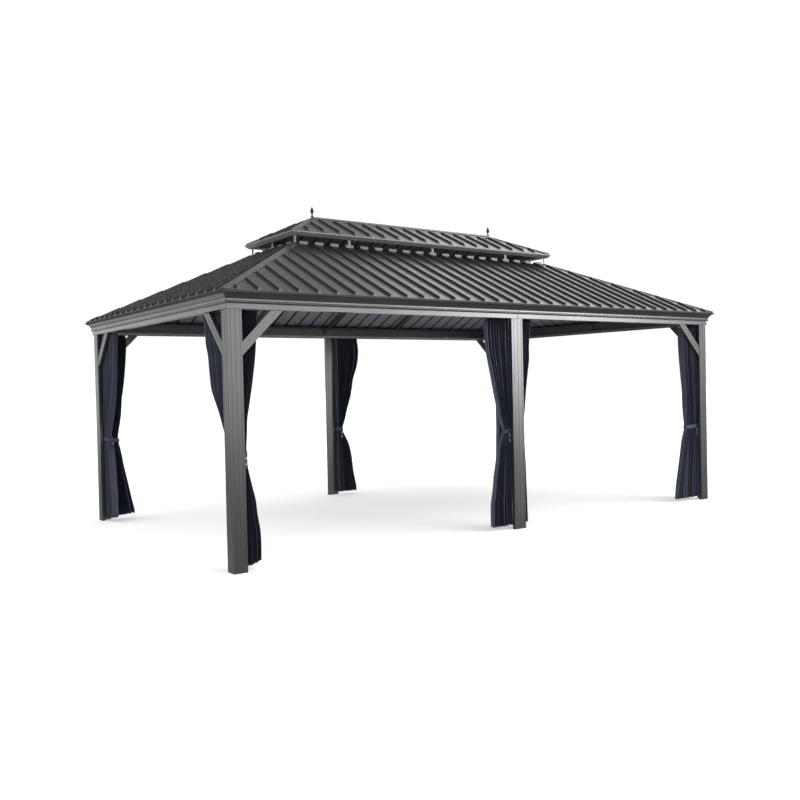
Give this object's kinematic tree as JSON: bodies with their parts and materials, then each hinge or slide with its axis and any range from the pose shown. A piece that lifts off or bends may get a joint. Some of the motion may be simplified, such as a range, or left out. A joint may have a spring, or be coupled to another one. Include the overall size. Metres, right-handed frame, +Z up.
{
  "type": "gazebo",
  "caption": "Rectangular hard-top gazebo with fluted posts, knee braces, a flared cornice, a two-tier hipped roof of ribbed sheets and tied-back curtains.",
  "frame": {"origin": "centre of the plan on the ground", "axes": "+X along the long front, +Y to the rear, +Z up"},
  "size_m": [5.98, 3.6, 3.2218],
  "materials": {
    "powder_coat": "satin charcoal powder coat on aluminium",
    "roof_sheet": "satin baked dark grey paint on ribbed steel sheet",
    "roof_trim": "satin dark grey paint on folded steel",
    "carcass": "matt charcoal paint on steel tube",
    "rail_metal": "grey anodised extrusion",
    "finial_metal": "satin black paint on cast metal",
    "curtain_cloth": "matt navy black woven polyester"
  },
  "bodies": {
    "root": {"beam_splice_plates": "powder_coat", "curtain_rails": "rail_metal", "curtains_front_left": "curtain_cloth", "curtains_front_middle": "curtain_cloth", "curtains_front_right": "curtain_cloth", "curtains_rear_left": "curtain_cloth", "curtains_rear_middle": "curtain_cloth", "curtains_rear_right": "curtain_cloth", "finial_left": "finial_metal", "finial_right": "finial_metal", "front_beam_left": "powder_coat", "front_beam_right": "powder_coat", "knee_braces_front_left": "powder_coat", "knee_braces_front_right": "powder_coat", "knee_braces_rear_left": "powder_coat", "knee_braces_rear_right": "powder_coat", "left_beam_front": "powder_coat", "left_beam_rear": "powder_coat", "lower_hip_caps": "roof_trim", "lower_rafters": "carcass", "lower_roof_front": "roof_sheet", "lower_roof_left": "roof_sheet", "lower_roof_rear": "roof_sheet", "lower_roof_right": "roof_sheet", "post_foot_plates": "powder_coat", "post_front_left": "powder_coat", "post_front_middle": "powder_coat", "post_front_right": "powder_coat", "post_head_plates": "powder_coat", "post_rear_left": "powder_coat", "post_rear_middle": "powder_coat", "post_rear_right": "powder_coat", "rail_brackets": "rail_metal", "rear_beam_left": "powder_coat", "rear_beam_right": "powder_coat", "ridge_cap": "roof_trim", "right_beam_front": "powder_coat", "right_beam_rear": "powder_coat", "roof_ring": "carcass", "roof_struts": "carcass", "upper_fascia": "roof_trim", "upper_hip_caps": "roof_trim", "upper_roof_frame": "carcass", "upper_roof_front": "roof_sheet", "upper_roof_left": "roof_sheet", "upper_roof_rear": "roof_sheet", "upper_roof_right": "roof_sheet"}
  },
  "joints": []
}
